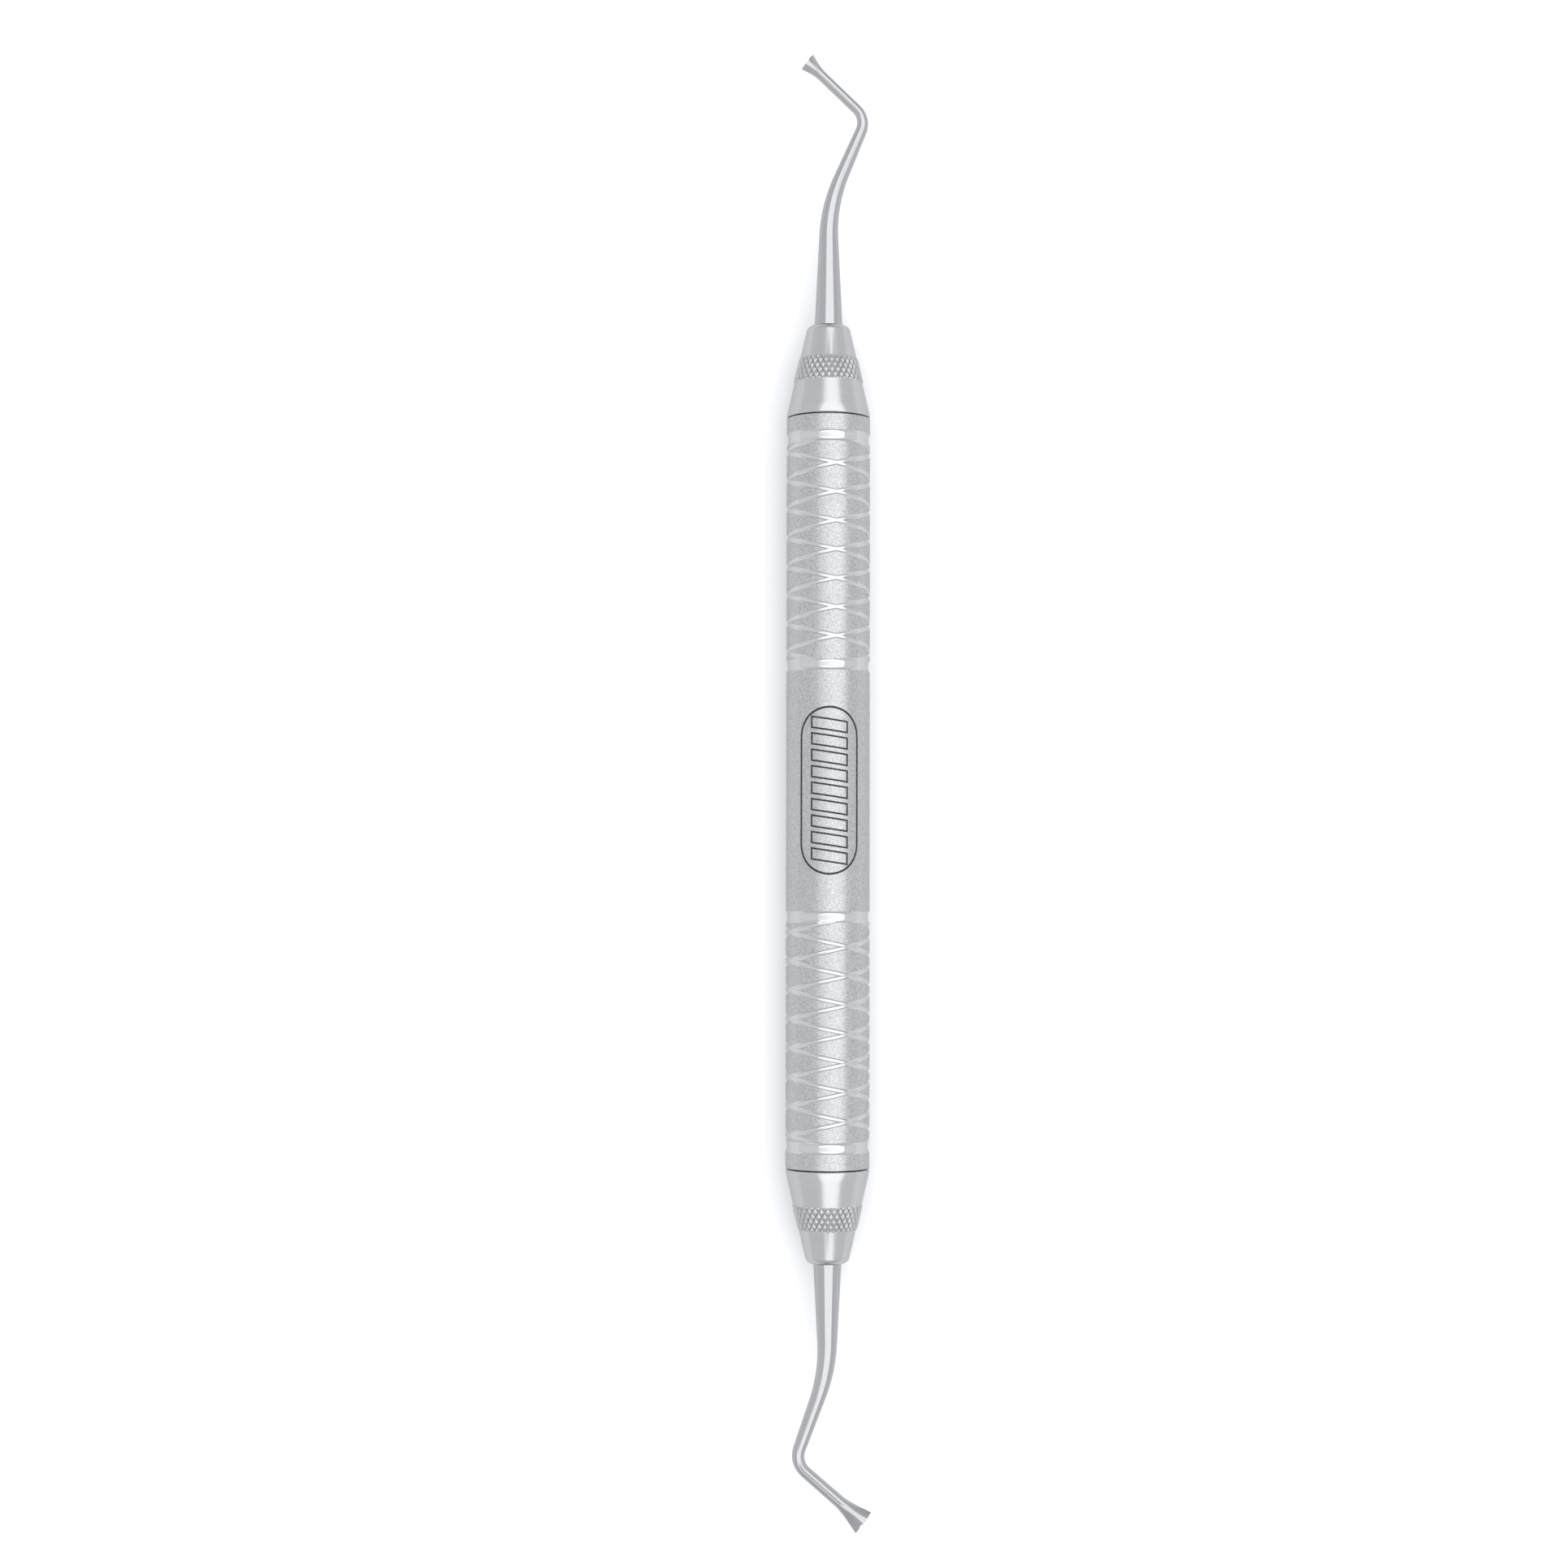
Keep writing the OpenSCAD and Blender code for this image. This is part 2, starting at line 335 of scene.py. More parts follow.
class Lattice:
    """Two families of helices that cross, one right-handed and one left-handed.
    Its grid lines follow both families, so a groove's edges are edges of the mesh."""

    def __init__(self, starts, half_pitch, crossing_x, crossing_angle, breaks):
        self.starts = starts
        self.half_pitch = half_pitch
        self.crossing_x = crossing_x
        self.crossing_angle = crossing_angle
        self.steps = unit_steps(breaks)

    def cells(self, x_low, x_high):
        """Grid coordinates (a, b) from below x_low to above x_high."""
        n = len(self.steps)
        low = n * (math.floor((x_low - self.crossing_x) / self.half_pitch) - 1)
        high = n * (math.ceil((x_high - self.crossing_x) / self.half_pitch) + 1)
        i = np.arange(self.starts * n)[:, None]
        j = i + np.arange(low, high + 1)[None, :]
        a = i // n + self.steps[i % n]
        b = j // n + self.steps[j % n]
        return np.broadcast_to(a, b.shape), b

    def bmesh(self, x_low, x_high, radius, relief, groove_share):
        """The surface between two planes. radius(x) is the plain surface, relief(a, b, x) what
        is taken off it, and a face nearer a helix than groove_share of a cell gets slot 1."""
        a, b = self.cells(x_low, x_high)
        angle = math.pi / self.starts * (a + b) + self.crossing_angle
        x = self.half_pitch * (b - a) + self.crossing_x
        r = radius(x) - relief(a, b, x)
        bm = bmesh.new()
        points = np.stack([x, -r * np.sin(angle), r * np.cos(angle)], axis=-1)
        grid = [[bm.verts.new(p) for p in line] for line in points]
        for i in range(len(grid)):
            near, far = grid[i], grid[(i + 1) % len(grid)]
            wrap = self.starts if i + 1 == len(grid) else 0
            for j in range(1, len(near) - 1):
                corners = (near[j], far[j - 1], far[j], near[j + 1])
                mid_a = (a[i, j] + a[(i + 1) % len(grid), j] + wrap) / 2
                mid_b = (b[i, j] + b[i, j + 1]) / 2
                self.add_cell(bm, corners, mid_a, mid_b, groove_share)
        for plane, keep in ((x_low, -1), (x_high, 1)):
            bmesh.ops.bisect_plane(
                bm, geom=bm.verts[:] + bm.edges[:] + bm.faces[:], dist=1e-9,
                plane_co=(plane, 0, 0), plane_no=(keep, 0, 0), clear_outer=True)
        return bm

    def add_cell(self, bm, corners, a, b, groove_share):
        """One grid face, split along the mitre where two grooves' walls meet."""
        off_a, off_b = a - round(a), b - round(b)
        grooved = min(abs(off_a), abs(off_b)) < groove_share
        if abs(abs(off_a) - abs(off_b)) < 1e-6:
            near, low, far, high = corners
            if off_a * off_b > 0:
                faces = ((near, low, far), (near, far, high))
            else:
                faces = ((near, low, high), (low, far, high))
        else:
            faces = (corners,)
        for corner_list in faces:
            face = bm.faces.new(corner_list)
            face.material_index = 1 if grooved else 0


# ---------------------------------------------------------------- handle


def grip_lattice(name):
    x, angle = GRIP_CROSSING[name]
    across = GRIP_LEAD / GRIP_STARTS * math.cos(math.atan(GRIP_LEAD / (TURN * handle_r)))
    walls = np.linspace(GRIP_FLAT, GRIP_HALF_W, GRIP_WALL_STEPS + 1) / across
    island = np.linspace(GRIP_HALF_W / across, 0.5, GRIP_ISLAND_STEPS + 1)[1:]
    breaks = [0.0, *walls, *island]
    return Lattice(GRIP_STARTS, GRIP_LEAD / (2 * GRIP_STARTS), x, math.radians(angle), breaks), across


def grip_bmesh(name, x_low, x_high):
    lattice, across = grip_lattice(name)

    def relief(a, b, x):
        near = np.minimum(np.abs(a - np.round(a)), np.abs(b - np.round(b)))
        return groove_depth(near * across, GRIP_FLAT, GRIP_HALF_W, GRIP_DEPTH)

    return lattice.bmesh(x_low, x_high, lambda x: handle_r + 0 * x, relief, GRIP_HALF_W / across)


def ring_groove_steps(middle, entry_radii, toward):
    """Rows through a turned groove, entered at a lip where helical grooves may already cut it."""
    wall = list(np.linspace(RING_HALF_W, RING_FLAT, RING_WALL_STEPS))
    steps = []
    for off in [-w for w in wall[1:]] + wall[::-1]:
        r = handle_r - groove_depth(off, RING_FLAT, RING_HALF_W, RING_DEPTH)
        radii = np.minimum(entry_radii, r) if off < 0 else r
        steps.append((middle + toward * off, radii))
    return steps


def grip_zone(skin, name):
    """One grip with the turned groove at each of its ends. Returns its two outermost rings, by
    the way that they face along X: -1 or 1."""
    end = ENDS[name]
    outer_ring_x = mouth_x - OUTER_RING_INSET
    inner, outer = INNER_RING_X + RING_HALF_W, outer_ring_x - RING_HALF_W
    x_low, x_high = sorted((end * inner, end * outer))
    bm = grip_bmesh(name, x_low, x_high)
    first = skin.merge(bm)
    bm.free()
    rings = {}
    for x, toward in ((x_low, -1), (x_high, 1)):
        ring = skin.ring_at(x, first)
        angles, entry = skin.angles(ring), skin.radii(ring)
        for row_x, radii in ring_groove_steps(x + toward * RING_HALF_W, entry, toward):
            following = skin.ring(row_x, radii, angles)
            low, high = (ring, following) if toward > 0 else (following, ring)
            skin.band(low, high, 1)
            ring = following
        rings[toward] = ring
    return rings


def build_handle(materials):
    skin = Skin()
    angles = regular(HANDLE_SIDES)
    lower, upper = grip_zone(skin, "lower"), grip_zone(skin, "upper")
    middle_x = INNER_RING_X - RING_HALF_W - ZONE_BLEND
    low = skin.ring(-middle_x, handle_r, angles)
    skin.zip_rings(lower[1], low)
    steps = [(x, handle_r) for x in np.linspace(-middle_x, middle_x, PLAIN_STEPS)[1:]]
    high = skin.rows(low, steps, angles)
    skin.zip_rings(high, upper[-1])

    land_x = mouth_x - OUTER_RING_INSET + RING_HALF_W + ZONE_BLEND
    edge = mouth_x - MOUTH_CHAMFER
    start = skin.ring(land_x, handle_r, angles)
    skin.zip_rings(upper[1], start)
    lip = MOUTH_CHAMFER / 2
    profile = [
        (edge, handle_r),
        (mouth_x, handle_r - MOUTH_CHAMFER),
        (mouth_x, BORE_R + lip),
        (mouth_x - lip, BORE_R),
        (0, BORE_R),
        (lip - mouth_x, BORE_R),
        (-mouth_x, BORE_R + lip),
        (-mouth_x, handle_r - MOUTH_CHAMFER),
        (-edge, handle_r),
        (-land_x, handle_r),
    ]
    last = skin.rows(start, profile, angles)
    skin.zip_rings(last, lower[-1])
    piece = make_piece("handle_grip", skin.points, skin.faces, materials, skin.slots, 25)
    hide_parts("handle_tube")
    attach(piece, "handle")


# ---------------------------------------------------------------- etched mark


def wrap(x, arc, radius):
    """A point of the unrolled surface, wrapped round the handle."""
    angle = arc / handle_r
    return (x, -radius * math.sin(angle), radius * math.cos(angle))


def closed_ribbon(skin, path, line_w):
    """A raised line of one width along a closed path on the unrolled surface."""
    path = np.array(path)
    before, after = np.roll(path, 1, axis=0), np.roll(path, -1, axis=0)
    ways = [(path - before), (after - path)]
    normals = []
    for way in ways:
        way = way / np.linalg.norm(way, axis=1)[:, None]
        normals.append(np.stack([-way[:, 1], way[:, 0]], axis=1))
    mitre = normals[0] + normals[1]
    mitre *= (1 / np.maximum((mitre * normals[0]).sum(axis=1), 0.5))[:, None]
    top, bottom = handle_r + HANDLE_SKIN * MARK_RAISED, handle_r - MARK_SUNK
    corners = ((-0.5, bottom), (-0.5, top), (0.5, top), (0.5, bottom))
    rings = []
    for point, normal in zip(path, mitre):
        first = len(skin.points)
        for side, radius in corners:
            at = point + normal * side * line_w
            skin.points.append(wrap(at[0], at[1], radius))
        rings.append(range(first, first + 4))
    for k, ring in enumerate(rings):
        following = rings[(k + 1) % len(rings)]
        for i in range(4):
            j = (i + 1) % 4
            skin.face((ring[i], ring[j], following[j], following[i]))


def stadium(half_len, half_w, turn_arc):
    """A rounded frame: two straight sides joined by half circles."""
    path = []
    for end in (1, -1):
        for i in range(MARK_ROUND_STEPS + 1):
            a = math.pi * (i / MARK_ROUND_STEPS - 0.5)
            x = end * (half_len - half_w + half_w * math.cos(a))
            path.append((x, turn_arc + end * half_w * math.sin(a)))
    return path


def leaning_cell(middle, length, height, lean, turn_arc):
    """A leaning four-sided cell, with points along each side."""
    corners = [(-1, -1), (1, -1), (1, 1), (-1, 1)]
    corners = [(middle + sx * length / 2 + sy * lean / 2, sy * height / 2) for sx, sy in corners]
    path = []
    for k, (start, end) in enumerate(zip(corners, corners[1:] + corners[:1])):
        count = max(2, math.ceil(math.dist(start, end) / MARK_STEP))
        for i in range(count):
            f = i / count
            path.append((start[0] + (end[0] - start[0]) * f,
                         turn_arc + start[1] + (end[1] - start[1]) * f))
    return path


def build_mark(material):
    """A plain frame round a row of leaning cells, etched on the middle of the handle."""
    skin = Skin()
    turn_arc = math.radians(MARK_TURN) * handle_r
    closed_ribbon(skin, stadium(MARK_HALF_LEN, MARK_HALF_W, turn_arc), MARK_FRAME_LINE)
    pitch = 2 * MARK_ROW_HALF_LEN / MARK_CELLS
    for i in range(MARK_CELLS):
        middle = pitch * (i - (MARK_CELLS - 1) / 2)
        length = MARK_CELL_SHARE * pitch
        cell = leaning_cell(middle, length, MARK_CELL_HEIGHT, MARK_LEAN, turn_arc)
        closed_ribbon(skin, cell, MARK_CELL_LINE)
    piece = make_piece("etched_mark", skin.points, skin.faces, [material])
    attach(piece, "handle")


# ---------------------------------------------------------------- cone sockets


def facing(name):
    """Turns what is built toward +X to the side of the named end."""
    return Matrix.Identity(4) if ENDS[name] > 0 else Matrix.Rotation(math.pi, 4, "Z")


def cone_radius(out):
    return CONE_R - (out - CONE_LAND) * math.tan(CONE_SLOPE)


def thread_radius(out, angle):
    """Radius of the stud: a rounded V thread that runs out before the cone, and a chamfer at
    the stud's end."""
    phase = (out / THREAD_PITCH - angle / TURN) % 1
    valley = ease(abs(phase - 0.5) * THREAD_SLOPE - THREAD_ROOT)
    fade_in = np.clip((out + STUD_LEN) / STUD_CHAMFER, 0, 1)
    end, softness = THREAD_RUNOUT
    fade_out = np.clip((-end - out) / softness, 0, 1)
    cut = THREAD_DEPTH * (1 - valley) * fade_out
    chamfered = STUD_R - STUD_CHAMFER * (1 - fade_in)
    return min(STUD_R - cut, chamfered)


def add_stud(skin, angles):
    """The threaded stud, from its end up to the cone's base. Returns the last ring."""
    rows = math.ceil(STUD_LEN / THREAD_PITCH * THREAD_ROWS_PER_PITCH)
    outs = np.linspace(-STUD_LEN, CONE_GAP, rows + 1)
    end_ring = skin.ring(outs[0], [thread_radius(outs[0], a) for a in angles], angles)
    skin.cap(end_ring[::-1])
    steps = [(out, [thread_radius(out, a) for a in angles]) for out in outs[1:]]
    return skin.rows(end_ring, steps, angles)


def knurl_bmesh():
    lattice = Lattice(KNURL_STARTS, KNURL_ROW, KNURL_START, 0, KNURL_BREAKS)

    def relief(a, b, x):
        near = np.minimum(np.abs(a - np.round(a)), np.abs(b - np.round(b)))
        height = KNURL_HEIGHT * np.interp(near, KNURL_BREAKS, KNURL_HEIGHTS)
        from_edge = np.minimum(x - KNURL_START, KNURL_START + KNURL_LEN - x)
        ramp = KNURL_HEIGHT * np.clip(from_edge / KNURL_RAMP, 0, 1)
        return -np.minimum(height, ramp)

    return lattice.bmesh(KNURL_START, KNURL_START + KNURL_LEN, cone_radius, relief, KNURL_GROOVE)


def nose_steps():
    """Rows round the nose, from where the arc touches the cone to its flat face."""
    touch = CONE_END - NOSE_R + NOSE_R * math.sin(CONE_SLOPE)
    middle_r = cone_radius(touch) - NOSE_R * math.cos(CONE_SLOPE)
    steps = []
    for a in np.linspace(CONE_SLOPE, math.pi / 2, NOSE_STEPS):
        steps.append((CONE_END - NOSE_R + NOSE_R * math.sin(a), middle_r + NOSE_R * math.cos(a)))
    return steps


def build_cone(name, materials):
    skin = Skin()
    angles = regular(CONE_SIDES)
    ring = add_stud(skin, angles)
    base = [
        (CONE_GAP, CONE_R - CONE_CHAMFER),
        (CONE_GAP + CONE_CHAMFER, CONE_R),
        (CONE_LAND, CONE_R),
    ]
    outs = np.linspace(CONE_LAND, KNURL_START - KNURL_BLEND, CONE_ROWS)[1:]
    below = [(out, cone_radius(out)) for out in outs]
    ring = skin.rows(ring, base + below, angles)
    bm = knurl_bmesh()
    first = skin.merge(bm)
    bm.free()
    skin.zip_rings(ring, skin.ring_at(KNURL_START, first))
    knurl_end = KNURL_START + KNURL_LEN
    above_out = knurl_end + KNURL_BLEND
    above = skin.ring(above_out, cone_radius(above_out), angles)
    skin.zip_rings(skin.ring_at(knurl_end, first), above)
    hole = [(CONE_END, ROD_R), (CONE_END - TANG_LEN, ROD_R)]
    ring = skin.rows(above, nose_steps() + hole, angles)
    skin.cap(ring)
    place = facing(name) @ Matrix.Translation((mouth_x, 0, 0))
    points = [place @ Vector(p) for p in skin.points]
    piece = make_piece(f"{name}_knurled_cone", points, skin.faces, materials, skin.slots, 24)
    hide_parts(f"{name}_cone_socket")
    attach(piece, f"{name}_tip")


def build_seal(name, material):
    """A sealing ring with the thin parting line of its mould."""
    skin = Skin()
    section_sides, sides = SEAL_SIDES
    rings = []
    for a in regular(section_sides):
        flash = 1 + SEAL_FLASH * (abs(math.sin(a)) < SEAL_FLASH_HALF_W)
        r = SEAL_SECTION_R * SEAL_SHADE * flash
        x = mouth_x + SEAL_OUT + r * math.sin(a)
        rings.append(skin.ring(x, SEAL_MID_R + r * math.cos(a), regular(sides)))
    for ring, following in zip(rings, rings[1:] + rings[:1]):
        skin.band(ring, following)
    points = [facing(name) @ Vector(p) for p in skin.points]
    piece = make_piece(f"{name}_seal", points, skin.faces, [material], sharp=60)
    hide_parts(f"{name}_seal_ring")
    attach(piece, f"{name}_seal")


# ---------------------------------------------------------------- working ends


def shank_stations(spec):
    """Stations (out, across, heading, diameter) along a shank, from its tang to the blade."""
    out, across, heading, diameter = CONE_END, 0.0, 0.0, 2 * ROD_R
    stations = [(CONE_END - TANG_LEN, 0.0, 0.0, diameter), (out, across, heading, diameter)]
    for length, turn, end_diameter in spec["legs"]:
        count = max(2, math.ceil(abs(turn) / BEND_STEP) or math.ceil(length / STATION_STEP))
        for i in range(1, count + 1):
            f = i / count
            now = heading + turn * f
            if turn:
                r = length / turn
                at = (out + r * (math.sin(now) - math.sin(heading)),
                      across - r * (math.cos(now) - math.cos(heading)))
            else:
                at = (out + length * f * math.cos(heading), across + length * f * math.sin(heading))
            stations.append((*at, now, diameter + (end_diameter - diameter) * f))
        out, across, heading, diameter = stations[-1]
    return stations


def blade_stations(spec, start):
    """Stations (out, across, heading, width, thickness, progress) of a blade, to its edge."""
    out, across, heading, diameter = start
    stations = []
    for f in np.linspace(0, 1, BLADE_STEPS)[1:]:
        along = spec["blade_len"] * f
        width = diameter + (spec["edge_w"] - diameter) * f ** spec["flare"]
        at = (out + along * math.cos(heading), across + along * math.sin(heading))
        stations.append((*at, heading, width, diameter, f))
    return stations


def ease(value):
    value = min(max(value, 0.0), 1.0)
    return value * value * (3 - 2 * value)


def swell(u, roof, ridge):
    """Height over a section at u of its half width: round where roof is 0, a ridged roof at 1."""
    lean = (u - ridge) / (1 - ridge) if u > ridge else (ridge - u) / (1 + ridge)
    fall = math.hypot(lean, RIDGE_ROUNDING) - RIDGE_ROUNDING
    fall = (fall / (math.hypot(1, RIDGE_ROUNDING) - RIDGE_ROUNDING)) ** WING_CURVE
    return (1 - roof) * math.sqrt(max(0.0, 1 - u * u)) + roof * (1 - fall)


def section(spec, width, thickness, progress, crease):
    """Points (across, up) of a section. The side toward the camera has the ground face, which
    opens from a point, or the crease; the other side has the hollow."""
    half_w, half_t = width / 2, thickness / 2
    roof = ease(progress / ROOF_FULL)
    face_low, face_high = (side * progress for side in spec["face"])
    hollow_w = spec["hollow"] * progress
    low = min(face_low, -hollow_w, -CREASE_HALF_W)
    high = max(face_high, hollow_w, CREASE_HALF_W)
    turn = np.linspace(0, math.pi / 2, RIM_STEPS)
    right = [high + (half_w - high) * math.cos(a) for a in turn]
    left = [low - (half_w + low) * math.cos(a) for a in turn[::-1]]
    middle = [high - FACE_WALL] + list(np.linspace(high - 2 * FACE_WALL, low, FACE_STEPS)[:-1])
    level = half_t * swell(low / half_w, roof, spec["ridge"])
    top, bottom = [], []
    for x in right + middle + left:
        up = half_t * swell(x / half_w, roof, spec["ridge"])
        down = half_t * swell(x / half_w, roof, 0)
        if spec["face"][1] and progress and low < x < high:
            up = min(up, level - FACE_SLOPE * (x - low))
        up -= crease * CREASE_DEPTH * max(0.0, 1 - abs(x) / CREASE_HALF_W)
        if hollow_w:
            dip = max(0.0, 1 - abs(x / hollow_w) ** HOLLOW_CURVE)
            down -= HOLLOW_DEPTH * thickness * progress * dip
        top.append((x, up))
        bottom.append((x, -down))
    return top + bottom[-2:0:-1]


def edge_shift(spec, x, progress):
    """Where a point goes across and along the blade, as its sections lean toward the skew of
    its edge, and as the notch cuts into that edge."""
    lean = spec["skew"] * progress
    middle, half_w, depth = spec["notch"]
    notch = depth * max(0.0, 1 - ((x - middle) / half_w) ** 2) if depth else 0.0
    opened = ease((progress - NOTCH_FROM) / (1 - NOTCH_FROM))
    return x * math.cos(lean), x * math.sin(lean) - notch * opened


def crease_share(spec, index, count, progress):
    """The crease opens in the bend and closes where the blade begins."""
    if not spec["crease"]:
        return 0.0
    opening = ease((index - CREASE_FIRST * count) / (CREASE_OPENING * count))
    return opening * (1 - ease(progress / CREASE_END))


def build_working_end(name, material):
    spec = WORKING_ENDS[name]
    shank = shank_stations(spec)
    stations = [(*s[:3], s[3], s[3], 0.0) for s in shank] + blade_stations(spec, shank[-1])
    end, side = ENDS[name], spec["side"]
    points, rings = [], []
    for k, (out, across, heading, width, thickness, progress) in enumerate(stations):
        middle = Vector((end * (mouth_x + out), side * across, 0))
        sideways = Vector((-end * math.sin(heading), side * math.cos(heading), 0))
        onward = Vector((end * math.cos(heading), side * math.sin(heading), 0))
        crease = crease_share(spec, k, len(shank), progress)
        ring = section(spec, width * SHANK_SHADE, thickness * SHANK_SHADE, progress, crease)
        first = len(points)
        for x, up in ring:
            shift, along = edge_shift(spec, x, progress)
            points.append(middle + sideways * shift + onward * along + Vector((0, 0, up)))
        rings.append(list(range(first, len(points))))
    faces = []
    flip = end * side < 0
    for low, high in zip(rings, rings[1:]):
        for i in range(len(low)):
            j = (i + 1) % len(low)
            quad = (low[i], low[j], high[j], high[i])
            faces.append(quad[::-1] if flip else quad)
    faces += end_faces(rings[0], not flip) + end_faces(rings[-1], flip)
    piece = make_piece(f"{name}_shank_and_blade", points, faces, [material], sharp=32)
    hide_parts(f"{name}_working_end")
    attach(piece, f"{name}_tip")


def end_faces(ring, flip):
    """Closes a section with strips between its upper and lower halves."""
    half = len(ring) // 2
    faces = []
    for i in range(half):
        corners = [ring[i], ring[i + 1], ring[-i - 1], ring[-i]]
        corners = list(dict.fromkeys(corners))
        faces.append(tuple(corners[::-1] if flip else corners))
    return faces


# ---------------------------------------------------------------- materials


class Recipe:
    """A procedural material built round one Principled shader."""

    def __init__(self, name, **uniform):
        self.material = bpy.data.materials.new(name)
        self.material.use_nodes = True
        self.nodes = self.material.node_tree.nodes
        self.links = self.material.node_tree.links
        self.shader = self.nodes["Principled BSDF"]
        for socket, value in uniform.items():
            self.shader.inputs[socket.replace("_", " ")].default_value = value
        self.place = self.nodes.new("ShaderNodeTexCoord").outputs["Object"]

    def stretched(self, scale):
        mapping = self.nodes.new("ShaderNodeMapping")
        mapping.inputs["Scale"].default_value = scale
        self.links.new(self.place, mapping.inputs["Vector"])
        return mapping.outputs["Vector"]

    def noise(self, size, detail=2.0, stretch=(1, 1, 1), roughness=0.5):
        """Noise whose features are about size metres across."""
        node = self.nodes.new("ShaderNodeTexNoise")
        node.inputs["Scale"].default_value = 1.0
        node.inputs["Detail"].default_value = detail
        node.inputs["Roughness"].default_value = roughness
        self.links.new(self.stretched([s / size for s in stretch]), node.inputs["Vector"])
        return node.outputs["Fac"]

    def spread(self, value, low, high, from_low=0.0, from_high=1.0):
        node = self.nodes.new("ShaderNodeMapRange")
        node.inputs["From Min"].default_value = from_low
        node.inputs["From Max"].default_value = from_high
        node.inputs["To Min"].default_value = low
        node.inputs["To Max"].default_value = high
        self.links.new(value, node.inputs["Value"])
        return node.outputs["Result"]

    def mixed(self, factor, first, second):
        node = self.nodes.new("ShaderNodeMix")
        node.data_type = "RGBA"
        node.inputs["A"].default_value = (*first, 1)
        node.inputs["B"].default_value = (*second, 1)
        self.links.new(factor, node.inputs["Factor"])
        return node.outputs["Result"]

    def bump(self, height, distance, strength=1.0):
        node = self.nodes.new("ShaderNodeBump")
        node.inputs["Strength"].default_value = strength
        node.inputs["Distance"].default_value = distance
        self.links.new(height, node.inputs["Height"])
        self.links.new(node.outputs["Normal"], self.shader.inputs["Normal"])

    def set(self, socket, value):
        self.links.new(value, self.shader.inputs[socket])


def blasted_steel():
    """Bead-blasted steel: a soft sheen broken by tiny facets that glint or go dark."""
    recipe = Recipe("blasted_steel", Metallic=1.0, Specular_Tint=EDGE_TINT)
    grain = recipe.noise(0.18 * MM, detail=2, roughness=0.85)
    cloud = recipe.noise(1.6 * MM, detail=2)
    shade = recipe.spread(grain, 0.0, 1.0, 0.3, 0.7)
    recipe.set("Base Color", recipe.mixed(shade, (0.28, 0.283, 0.288), (0.52, 0.525, 0.537)))
    recipe.set("Roughness", recipe.spread(cloud, 0.27, 0.33))
    recipe.bump(grain, 0.012 * MM)
    return recipe.material


def groove_steel():
    """The bright floor of a groove turned after blasting, with faint tool lines."""
    recipe = Recipe("groove_steel", Metallic=1.0, Specular_Tint=EDGE_TINT)
    lines = recipe.noise(0.05 * MM, detail=2, stretch=(1, 0.04, 0.04))
    recipe.set("Base Color", recipe.mixed(lines, (0.47, 0.474, 0.482), (0.52, 0.524, 0.532)))
    recipe.set("Roughness", recipe.spread(lines, 0.07, 0.12))
    recipe.bump(lines, 0.0003 * MM)
    return recipe.material


def turned_steel(name="turned_steel", roughness=0.22, shade=1.0):
    """Fine-turned steel: satin along the axis, with faint lines round it. A shade below 1
    darkens the base colour for the bottoms of a knurl: painted shade in the valleys, with a
    little grime."""
    recipe = Recipe(name, Metallic=1.0, Specular_Tint=EDGE_TINT)
    lines = recipe.noise(0.07 * MM, detail=3, stretch=(1, 0.03, 0.03))
    patches = recipe.noise(1.1 * MM, detail=2)
    tints = ((0.405, 0.409, 0.414), (0.468, 0.472, 0.477))
    # shade scales both tints; below 1 it paints shade into a knurl's valleys
    low, high = ([shade * c for c in tint] for tint in tints)
    recipe.set("Base Color", recipe.mixed(lines, low, high))
    recipe.set("Roughness", recipe.spread(patches, roughness - 0.03, roughness + 0.03))
    recipe.bump(lines, 0.0006 * MM)
    return recipe.material


def polished_steel():
    """Hand-polished steel, with faint strokes along it and slight waves in the shine."""
    recipe = Recipe("polished_steel", Metallic=1.0, Specular_Tint=EDGE_TINT)
    strokes = recipe.noise(0.06 * MM, detail=2, stretch=(0.05, 1, 1))
    waves = recipe.noise(0.9 * MM, detail=1)
    recipe.set("Base Color", recipe.mixed(strokes, (0.333, 0.337, 0.346), (0.396, 0.400, 0.409)))
    recipe.set("Roughness", recipe.spread(waves, 0.04, 0.09))
    recipe.bump(waves, 0.001 * MM)
    return recipe.material


def seal_rubber():
    recipe = Recipe("seal_rubber")
    grain = recipe.noise(0.08 * MM, detail=2)
    recipe.set("Base Color", recipe.mixed(grain, (0.012, 0.012, 0.013), (0.03, 0.03, 0.032)))
    recipe.set("Roughness", recipe.spread(grain, 0.45, 0.65))
    recipe.bump(grain, 0.004 * MM)
    return recipe.material


def etched_oxide():
    """The dark, slightly broken line that a marking laser leaves."""
    recipe = Recipe("etched_oxide", Metallic=0.4)
    dots = recipe.noise(0.12 * MM, detail=2, roughness=0.7)
    shade = recipe.spread(dots, 0.0, 1.0, 0.5, 0.72)
    recipe.set("Base Color", recipe.mixed(shade, (0.012, 0.013, 0.016), (0.12, 0.123, 0.13)))
    recipe.set("Roughness", recipe.spread(dots, 0.45, 0.7))
    recipe.bump(dots, 0.003 * MM)
    return recipe.material


def floor_paint():
    recipe = Recipe("floor_paint")
    cloud = recipe.noise(60 * MM, detail=2)
    recipe.set("Base Color", recipe.mixed(cloud, (0.87, 0.87, 0.873), (0.89, 0.89, 0.893)))
    recipe.set("Roughness", recipe.spread(cloud, 0.75, 0.9))
    return recipe.material


# ---------------------------------------------------------------- studio


